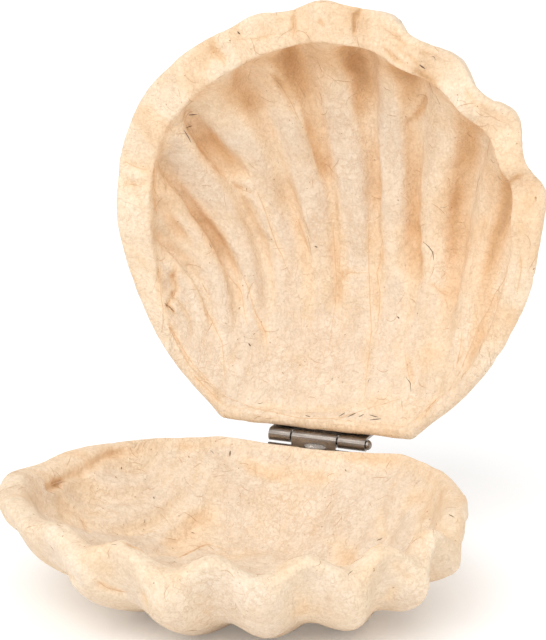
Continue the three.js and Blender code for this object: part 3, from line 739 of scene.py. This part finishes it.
def fold_relief(points, seen, rows, folds, seed):
    """Grooves along the folds, which run out softly, and the painted shade that makes each point warmer and
    darker.
    """
    on_outside = 1 - smooth(0, FOLD_SIDE_BLEND, rows - OUTER_RINGS - ROUND_RINGS)
    on_inside = smooth(-FOLD_SIDE_BLEND, 0, rows - OUTER_RINGS)
    wander = sum(share * noise_vector(points, size, seed + 20 + 4 * k)
                 for k, (size, share) in enumerate(FOLD_WANDERS))
    strength = 1 + FOLD_VARIES[1] * noise(points, FOLD_VARIES[0], seed + 23)
    relief = np.zeros(len(points))
    shade_and_tone = np.zeros(len(points))
    for width, depth, painted_shade, *way in folds.values():
        found = find_way(seen, way)
        path = points[found]
        side = on_outside if np.median(rows[found]) < OUTER_RINGS else on_inside
        distance, share = distance_to_path(points + FOLD_WANDER * wander, path)
        taper = side * smooth(*FOLD_RUN_IN, share) * (1 - smooth(*FOLD_RUN_OUT, share))
        far = distance / (width * (1 + taper) / 2)
        relief -= depth * strength * taper * (np.exp(-far ** 2) - FOLD_LIP * np.exp(-(far - 2) ** 2))
        # Painted shade along the fold, strongest at its middle line.
        shade_and_tone += painted_shade * strength * taper * np.exp(-(far / FOLD_SHADE_WIDTH) ** 2)
    return keep_wall(relief, points, rows), shade_and_tone


def creases(points, size, seed):
    """Thin random creases, as where wet paper lies over itself."""
    warped = points + size * CREASE_WARP[0] * noise_vector(points, size * CREASE_WARP[1], seed + 1)
    line = np.exp(-(noise(warped, size, seed) / CREASE_LINE) ** 2)
    return line * smooth(*CREASE_FADE, noise(points, size * CREASE_PATCH, seed + 4))


def paper_relief(points, seed):
    """Lumps, dents and creases of hand-laid paper pulp."""
    cut = sum(depth * creases(points, size, seed + 5 + 7 * k) for k, (size, depth) in enumerate(CREASES))
    return noises(points, LUMPS, seed) - cut


def along_ribs(places, pitch):
    """Coordinates that change fast across the ribs and slowly along them."""
    angle = fan_angle(places[:, 0], places[:, 1], FAN_LEVEL)
    return np.stack([angle, places[:, 1], places[:, 2]], -1) * pitch


def flatten_foot(grid):
    """The bowl runs softly into its flat foot."""
    soft = FOOT_SOFTNESS
    excess = grid[:, 2] - BASE_HEIGHT
    eased = BASE_HEIGHT - (soft - excess) ** 2 / (4 * soft)
    grid[:, 2] = np.where(excess > soft, BASE_HEIGHT, np.where(excess < -soft, grid[:, 2], eased))


def soften_inner_edge(grid, passes):
    """Pulp has no crisp edge where the rim turns into the bowl."""
    rows = np.arange(1, len(grid) - 1)
    edge = OUTER_RINGS + ROUND_RINGS + BAND_RINGS
    weight = smooth(*SOFT_EDGE_START, rows - edge) * (1 - smooth(*SOFT_EDGE_END, rows - edge))
    for _ in range(passes):
        middle = (grid[:-2] + grid[2:]) / 2
        grid[1:-1] = mix(grid[1:-1], middle, 0.5 * weight[:, None, None])


def tone_and_painted_shade(places, valve, inside, on_rim, fold_shade, seed):
    """How warm and dark the pulp is drawn, from 0 to 1: painted shade in channels, hollows and folds and on
    the lid's crown and right flank, with damp patches.
    """
    across, forward = places[:, 0], places[:, 1]
    wave = rib_wave(valve["ribs"], rib_number(valve["ribs"], fan_angle(across, forward, FAN_LEVEL)))
    # Painted shade in the channels inside.
    channel = inside * smooth(*CHANNEL_WAVE, wave) * rib_fade(forward, FAN_LEVEL)
    # Painted shade in the hollows between the ribs outside.
    hollow = (1 - inside) * smooth(*HOLLOW_WAVE, wave) * rib_fade(forward, HOLLOW_LEVEL)
    patches = smooth(*PATCH_FROM_TO, noises(places, PATCHES, seed + 40))
    even = valve["shade_and_tone"] * (channel + patches) + HOLLOW_SHADE * hollow + RIM_TINT * on_rim
    if valve["side"] > 0:
        # Painted shadow on the top of the lid's inside, under its top rim.
        even += CROWN_SHADOW * inside * smooth(*CROWN_FROM_TO, forward)
        # Painted shade on the right side of the lid's inside.
        even += FLANK_SHADE * smooth(*FLANK_FROM_TO, across) * smooth(*FLANK_INSIDE, inside)
        even += TOP_TINT * on_rim * smooth(*TOP_FROM_TO, forward)
    # The painted shade of the folds is added on top.
    return np.clip(even + FOLD_SHADE * fold_shade, 0, 1)


def add_attribute(mesh, name, kind, field, values):
    attribute = mesh.attributes.new(name, kind, "POINT")
    attribute.data.foreach_set(field, values.ravel())


def make_valve(name, valve, body, material):
    """A valve's surface with its relief: its rings of points and their normals, without the tips."""
    grid = ring_grid(valve)
    soften_inner_edge(grid, valve["softness"])
    tips = [(0.0, UMBO, valve["bowl"]), (0.0, INNER_UMBO, valve["bowl"] - valve["wall"])]
    is_base = valve["side"] < 0
    if is_base:
        flatten_foot(grid)
        tips[0] = (0.0, UMBO, BASE_HEIGHT)
    points = place(valve, grid[:, 0], grid[:, 1], grid[:, 2])
    tip_points = [place(valve, *np.array(tip)) for tip in tips]
    piece = grid_mesh(name, points, tip_points, inward=is_base)
    mesh = piece.data
    normals = vertex_values(mesh, "normal")
    vertices = vertex_values(mesh, "co") / MM
    places = np.concatenate([grid.transpose(0, 2, 1).reshape(-1, 3), np.array(tips)])
    rows = np.concatenate([np.repeat(np.arange(len(grid)), COLUMNS), [0, len(grid) - 1]])
    inside = smooth(*INSIDE_START, rows - INNER_START)
    on_rim = smooth(*RIM_START, rows - OUTER_RINGS) * (1 - inside)
    relief = paper_relief(vertices, valve["seed"]) * (1 - RIM_CALM * on_rim) - RIM_SHRINK * on_rim
    streaks = noises(along_ribs(places, STREAK_PITCH), STREAKS, valve["seed"] + 30)
    relief += streaks * inside * rib_fade(places[:, 1], FAN_LEVEL)
    dents, fold_shade = fold_relief(vertices, in_photo(vertices), rows, valve["folds"], valve["seed"])
    relief += dents
    if is_base:
        relief = relief * smooth(0, FOOT_CALM_HEIGHT, vertices[:, 2])
    vertices = vertices + normals * relief[:, None]
    mesh.vertices.foreach_set("co", (vertices * MM).ravel())
    shade_smooth(mesh)
    mesh.update()
    # Tone for the colour ramp: painted shade in channels, hollows and folds and on the lid's crown and
    # right flank, besides darker patches of the pulp.
    tone = tone_and_painted_shade(places, valve, inside, on_rim, fold_shade, valve["seed"])
    add_attribute(mesh, "tone_and_painted_shade", "FLOAT", "value", tone)
    add_attribute(mesh, "flow", "FLOAT_VECTOR", "vector", along_ribs(places, FLOW_PITCH))
    mesh.materials.append(material)
    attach(piece, body)
    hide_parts(name.replace("_pulp", "_shell"))
    surface = vertices[:-2].reshape(len(grid), COLUMNS, 3)
    return surface, normals[:-2].reshape(len(grid), COLUMNS, 3)


def walk(surface, normals, row, column, heading, turn, length, steps):
    """Points of a fibre that lies on the surface, from a start along a curved way."""
    rings, columns = surface.shape[:2]
    points = []
    for _ in range(steps + 1):
        i = int(np.clip(row, 1, rings - 3))
        j = int(column % columns)
        t = row - i
        s = column % columns - j
        near = (j + 1) % columns
        here = mix(surface[i, j], surface[i, near], s)
        below = mix(surface[i + 1, j], surface[i + 1, near], s)
        points.append(mix(here, below, t) + FIBRE_LIFT * normals[i, j])
        down = np.linalg.norm(surface[i + 1, j] - surface[i, j]) + 0.02
        across = np.linalg.norm(surface[i, near] - surface[i, j]) + 0.02
        row = float(np.clip(row + length / steps * math.cos(heading) / down, 2, rings - 4))
        column += length / steps * math.sin(heading) / across
        heading += turn / steps
    return np.array(points)


def tube(points, radius, sides=4):
    """Vertices and faces of a thin tube that thins out at both ends."""
    count = len(points)
    along = np.gradient(points, axis=0)
    along /= np.linalg.norm(along, axis=1)[:, None] + 1e-9
    side = np.cross(along, (0.31, 0.23, 0.92))
    side /= np.linalg.norm(side, axis=1)[:, None] + 1e-9
    other = np.cross(along, side)
    thin = radius * (0.25 + 0.75 * np.sin(np.pi * np.linspace(0.02, 0.98, count)))
    angles = 2 * np.pi * np.arange(sides) / sides
    ring = np.cos(angles)[None, :, None] * side[:, None] + np.sin(angles)[None, :, None] * other[:, None]
    vertices = (points[:, None] + thin[:, None, None] * ring).reshape(-1, 3)
    faces = []
    for k in range(count - 1):
        for a in range(sides):
            b = (a + 1) % sides
            faces.append((k * sides + a, k * sides + b, (k + 1) * sides + b, (k + 1) * sides + a))
    faces.append(tuple(range(sides))[::-1])
    faces.append(tuple((count - 1) * sides + a for a in range(sides)))
    return vertices, faces


def join_tubes(name, tubes, body, material):
    """One mesh of many thin tubes, each a pair of its middle line and its radius."""
    vertices = []
    faces = []
    total = 0
    for points, radius in tubes:
        more, sides = tube(points, radius)
        vertices.append(more)
        faces += [tuple(index + total for index in face) for face in sides]
        total += len(more)
    piece = add_piece(name, np.concatenate(vertices), faces)
    piece.data.materials.append(material)
    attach(piece, body)


def loose_fibres(surface, normals, count, radius, lengths, seed):
    """Plant fibres that lie scattered in and on the pulp."""
    rows = (FIBRE_FIRST_ROW, len(surface) - FIBRE_LAST_ROWS)
    chance = np.random.default_rng(seed)
    tubes = []
    for _ in range(count):
        start = (chance.uniform(*rows), chance.uniform(0, COLUMNS), chance.uniform(0, 2 * math.pi))
        points = walk(surface, normals, *start, chance.normal(0, FIBRE_CURL), chance.uniform(*lengths),
                      FIBRE_STEPS)
        tubes.append((points, radius * chance.uniform(0.6, 1.3)))
    return tubes


def in_one_list(surface, normals):
    """The points of a surface, their normals and where they show in the photograph."""
    points = surface.reshape(-1, 3)
    return points, normals.reshape(-1, 3), in_photo(points)


def line_through(knots, stations, asked):
    """Points at the asked stations of a line through knots."""
    return np.stack([np.interp(asked, stations, axis) for axis in knots.T], -1)


def sheet_edges_and_crease_shade(surface, normals, folds, bare_band, seed):
    """Thin edges of the paper sheets, which show as fine lines along the narrow folds and also draw the
    painted shade of those creases.
    """
    points, outward, seen = in_one_list(surface, normals)
    chance = np.random.default_rng(seed)
    tubes = []
    for width, _, painted_shade, *way in folds.values():
        if width > SHEET_EDGE_FOLD:
            continue
        way = np.array(way, float)
        lengths = np.concatenate([[0], np.cumsum(np.hypot(*np.diff(way, axis=0).T))])
        count = max(6, int(lengths[-1] / SHEET_EDGE_STEP))
        share = np.linspace(0, lengths[-1], count)
        line = line_through(way, lengths, share)
        drift = np.cumsum(chance.normal(0, SHEET_EDGE_DRIFT, line.shape), axis=0)
        line += drift * np.sin(np.pi * share / lengths[-1])[:, None]
        numbers = find_way(seen, line)
        rows = np.array(numbers) // surface.shape[1]
        on_band = (rows > OUTER_RINGS - 2) & (rows < INNER_START + 2)
        if bare_band and on_band.any():
            continue
        middle = points[numbers] + SHEET_EDGE_LIFT * outward[numbers]
        for _ in range(3):
            middle[1:-1] = (middle[:-2] + 2 * middle[1:-1] + middle[2:]) / 4
        # A line is thicker where the fold's painted shade is darker.
        tubes.append((middle, mix(*SHEET_EDGE_RADII, painted_shade)))
    return tubes


def photo_marks(surface, normals, marks):
    """The fibres and flecks that show in the photograph."""
    points, outward, seen = in_one_list(surface, normals)
    tubes = []
    for thickness, *way in marks.values():
        numbers = find_way(seen, way)
        knots = points[numbers] + MARK_LIFT * outward[numbers]
        share = np.linspace(0, len(knots) - 1, FIBRE_STEPS)
        tubes.append((line_through(knots, np.arange(len(knots)), share), thickness / 2 + MARK_LIFT))
    return tubes


def make_glue():
    """Clear drop of glue on the back rim under the middle knuckle."""
    vertices = []
    faces = []
    for i in range(GLUE_RINGS + 1):
        fall = math.pi * i / GLUE_RINGS
        for j in range(GLUE_COLUMNS):
            turn = 2 * math.pi * j / GLUE_COLUMNS
            out = math.sin(fall) * (1 + GLUE_SWELL * math.sin(3 * turn + 0.6))
            share = (out * math.cos(turn), out * math.sin(turn), math.cos(fall))
            vertices.append(AXIS + GLUE_PLACE + np.array(GLUE_RADII) * share)
            if i < GLUE_RINGS:
                here = i * GLUE_COLUMNS + j
                after = i * GLUE_COLUMNS + (j + 1) % GLUE_COLUMNS
                faces.append((here, here + GLUE_COLUMNS, after + GLUE_COLUMNS, after))
    piece = add_piece("glue_drop", vertices, faces)
    shade_smooth(piece.data)
    clear = plain_material("clear_glue", GLUE_COLOR, 0.06, {"Transmission Weight": 0.75, "IOR": 1.47})
    piece.data.materials.append(clear)
    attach(piece, "base")


class Nodes:
    """Small helper that adds shader nodes and links them."""

    def __init__(self, name):
        self.material = bpy.data.materials.new(name)
        self.material.use_nodes = True
        self.tree = self.material.node_tree
        self.shader = self.tree.nodes["Principled BSDF"]
        self.place = self.add("ShaderNodeTexCoord").outputs["Object"]

    def add(self, kind, **values):
        node = self.tree.nodes.new(kind)
        for key, value in values.items():
            setattr(node, key, value)
        return node

    def put(self, values):
        for name, value in values.items():
            self.shader.inputs[name].default_value = value

    def link(self, source, target):
        self.tree.links.new(source, target)

    def noise(self, scale, detail=2.0, roughness=0.5, stretch=None, source=None):
        node = self.add("ShaderNodeTexNoise")
        node.inputs["Scale"].default_value = scale
        node.inputs["Detail"].default_value = detail
        node.inputs["Roughness"].default_value = roughness
        source = source or self.place
        if stretch:
            mapping = self.add("ShaderNodeMapping")
            mapping.inputs["Scale"].default_value = stretch
            self.link(source, mapping.inputs["Vector"])
            source = mapping.outputs["Vector"]
        self.link(source, node.inputs["Vector"])
        return node.outputs["Fac"]

    def ramp(self, source, stops):
        node = self.add("ShaderNodeValToRGB")
        elements = node.color_ramp.elements
        while len(elements) < len(stops):
            elements.new(0.5)
        for element, (position, color) in zip(elements, stops):
            element.position = position
            element.color = color
        self.link(source, node.inputs["Fac"])
        return node.outputs["Color"]

    def blend(self, kind, amount, first, second):
        node = self.add("ShaderNodeMix", data_type="RGBA", blend_type=kind)
        for socket, value in (("Factor", amount), ("A", first), ("B", second)):
            target = next(s for s in node.inputs if s.name == socket and s.enabled)
            if hasattr(value, "links"):
                self.link(value, target)
            else:
                target.default_value = value
        return next(s for s in node.outputs if s.enabled)

    def bump(self, height, distance, strength, under=None):
        node = self.add("ShaderNodeBump")
        node.inputs["Distance"].default_value = distance
        node.inputs["Strength"].default_value = strength
        self.link(height, node.inputs["Height"])
        if under is not None:
            self.link(under, node.inputs["Normal"])
        return node.outputs["Normal"]


def grey(value):
    return (value, value, value, 1.0)


def contour(n, field, half_width):
    """Thin line where a noise passes its middle."""
    return n.ramp(field, [(0.5 - half_width, grey(0.0)), (0.5, grey(1.0)), (0.5 + half_width, grey(0.0))])


def pulp_threads(n, flow):
    """Fine threads in the pulp, in every direction and along the ribs."""
    threads = contour(n, n.noise(75, 4, 0.6, stretch=(1.0, 1.0, 1.0)), 0.012)
    for scale, stretch in ((150, (0.7, 1.0, 1.4)), (260, (1.5, 1.0, 0.7))):
        line = contour(n, n.noise(scale, 4, 0.6, stretch=stretch), 0.012)
        threads = n.blend("LIGHTEN", 1.0, threads, line)
    return n.blend("LIGHTEN", 1.0, threads, contour(n, n.noise(0.16, 4, 0.6, source=flow), 0.007))


def pulp_material():
    """Matt paper pulp: tones, partly painted shade, blotches, mottle, streaks along the ribs, threads and
    flecks.
    """
    n = Nodes("papier_mache")
    tone = n.add("ShaderNodeAttribute", attribute_name="tone_and_painted_shade").outputs["Fac"]
    # The ramp colours the pulp by its tone, which holds painted shade as well as darker patches of the
    # pulp.
    color = n.ramp(tone, PULP_TONES_AND_SHADE)
    flow = n.add("ShaderNodeAttribute", attribute_name="flow").outputs["Vector"]
    streak = n.noise(0.42, 3, 0.5, source=flow)
    blotches = (n.noise(110, 5, 0.65), (0.3, BLOTCH_COLOR), (0.68, grey(1.03)))
    mottle = (n.noise(1300, 3, 0.7), (0.32, MOTTLE_COLOR), (0.64, grey(1.05)))
    for field, *stops in (blotches, mottle, (streak, (0.34, STREAK_COLOR), (0.56, grey(1.02)))):
        color = n.blend("MULTIPLY", 1.0, color, n.ramp(field, stops))
    threads = pulp_threads(n, flow)
    patchy = n.ramp(n.noise(55, 2, 0.5), [(0.42, grey(0.04)), (0.66, grey(0.42))])
    strength = n.blend("MULTIPLY", 1.0, threads, patchy)
    color = n.blend("MIX", strength, color, THREAD_COLOR)
    fleck = n.ramp(n.noise(900, 2, 0.5), [(0.72, grey(1.0)), (0.77, FLECK_COLOR)])
    color = n.blend("MULTIPLY", 0.8, color, fleck)
    n.link(color, n.shader.inputs["Base Color"])
    n.put({"Roughness": 0.9, "Specular IOR Level": 0.2})
    folds = n.bump(streak, 0.0012, 0.6)
    crumple = n.bump(n.noise(170, 4, 0.6), 0.0008, 0.6, under=folds)
    felt = n.bump(n.noise(900, 5, 0.68), 0.0004, 0.6, under=crumple)
    relief = n.bump(threads, 0.0002, 0.5, under=felt)
    n.link(relief, n.shader.inputs["Normal"])
    return n.material


def plain_material(name, color, roughness, others=None):
    n = Nodes(name)
    n.put({"Base Color": color, "Roughness": roughness, **(others or {})})
    return n.material


def steel_material():
    n = Nodes("hinge_steel")
    tone = n.ramp(n.noise(500, 4, 0.6, stretch=(0.2, 1, 1)),
                  [(0.3, DARK_STEEL), (0.7, PALE_STEEL)])
    n.link(tone, n.shader.inputs["Base Color"])
    n.put({"Metallic": 1.0})
    rough = n.ramp(n.noise(900, 3, 0.6), [(0.3, grey(0.24)), (0.7, grey(0.42))])
    n.link(rough, n.shader.inputs["Roughness"])
    n.link(n.bump(n.noise(1500, 3, 0.6, stretch=(0.15, 1, 1)), 0.0001, 0.3), n.shader.inputs["Normal"])
    return n.material


def make_floor():
    bpy.ops.mesh.primitive_plane_add(size=FLOOR_SIZE, location=(0, 0, 0))
    floor = bpy.context.object
    floor.name = "pale_floor"
    glow = {"Emission Color": (1, 1, 1, 1), "Emission Strength": FLOOR_GLOW, "Specular IOR Level": 0.2}
    floor.data.materials.append(plain_material("pale_floor", FLOOR_COLOR, 0.8, glow))


def make_camera():
    place_mm, right, up, back = view_axes()
    camera = add_object("camera", bpy.data.cameras.new("camera"))
    camera.data.sensor_width = SENSOR
    camera.data.lens = SENSOR * FOCAL_PIXELS / IMAGE_HEIGHT
    camera.data.clip_end = CAMERA_REACH
    turn = Matrix([right, up, back]).transposed().to_4x4()
    camera.matrix_world = Matrix.Translation(Vector(place_mm * MM)) @ turn
    bpy.context.scene.camera = camera


def make_light():
    world = bpy.data.worlds.new("studio")
    bpy.context.scene.world = world
    world.use_nodes = True
    background = world.node_tree.nodes["Background"]
    background.inputs["Color"].default_value = (1, 1, 1, 1)
    background.inputs["Strength"].default_value = STUDIO_LIGHT
    key = add_object("key", bpy.data.lights.new("key", "SUN"))
    key.data.energy = KEY_LIGHT
    key.data.angle = KEY_SOFTNESS
    key.rotation_euler = Vector(KEY_DIRECTION).to_track_quat("-Z", "Y").to_euler()
    scene = bpy.context.scene
    scene.view_settings.view_transform = "Standard"
    scene.view_settings.look = "None"
    scene.view_settings.exposure = 0.0


def dress_valve(body, valve, pulp, ochre, sheet_edge_and_crease_shade, brown):
    surface, normals = make_valve(body + "_pulp", valve, body, pulp)
    seed = valve["seed"]
    pale_fibres = loose_fibres(surface, normals, *PALE_FIBRES, seed)
    dark_fibres = loose_fibres(surface, normals, *DARK_FIBRES, seed + 1)
    edges = sheet_edges_and_crease_shade(surface, normals, valve["folds"], valve["side"] < 0, seed + 2)
    marks = photo_marks(surface, normals, valve["marks"])
    join_tubes(body + "_ochre_fibres", pale_fibres, body, ochre)
    join_tubes(body + "_sheet_edges_and_crease_shade", edges, body, sheet_edge_and_crease_shade)
    join_tubes(body + "_brown_fibres", dark_fibres + marks, body, brown)


def dress_hinge(steel):
    for node, metal in frame["nodes"].items():
        if not node.endswith("_shell"):
            metal.data.materials.clear()
            metal.data.materials.append(steel)
            shade_smooth(metal.data)
            metal.data.set_sharp_from_angle(angle=STEEL_CORNER)


make_camera()
make_light()
make_floor()
pulp = pulp_material()
steel = steel_material()
ochre = plain_material("ochre_fibre", OCHRE_COLOR, FIBRE_ROUGHNESS)
sheet_edge_and_crease_shade = plain_material("sheet_edge_and_crease_shade", SHEET_EDGE_AND_CREASE_SHADE_COLOR, FIBRE_ROUGHNESS)
brown = plain_material("brown_fibre", BROWN_COLOR, FIBRE_ROUGHNESS)
dress_valve("base", BASE, pulp, ochre, sheet_edge_and_crease_shade, brown)
dress_valve("lid", LID, pulp, ochre, sheet_edge_and_crease_shade, brown)
make_glue()
dress_hinge(steel)
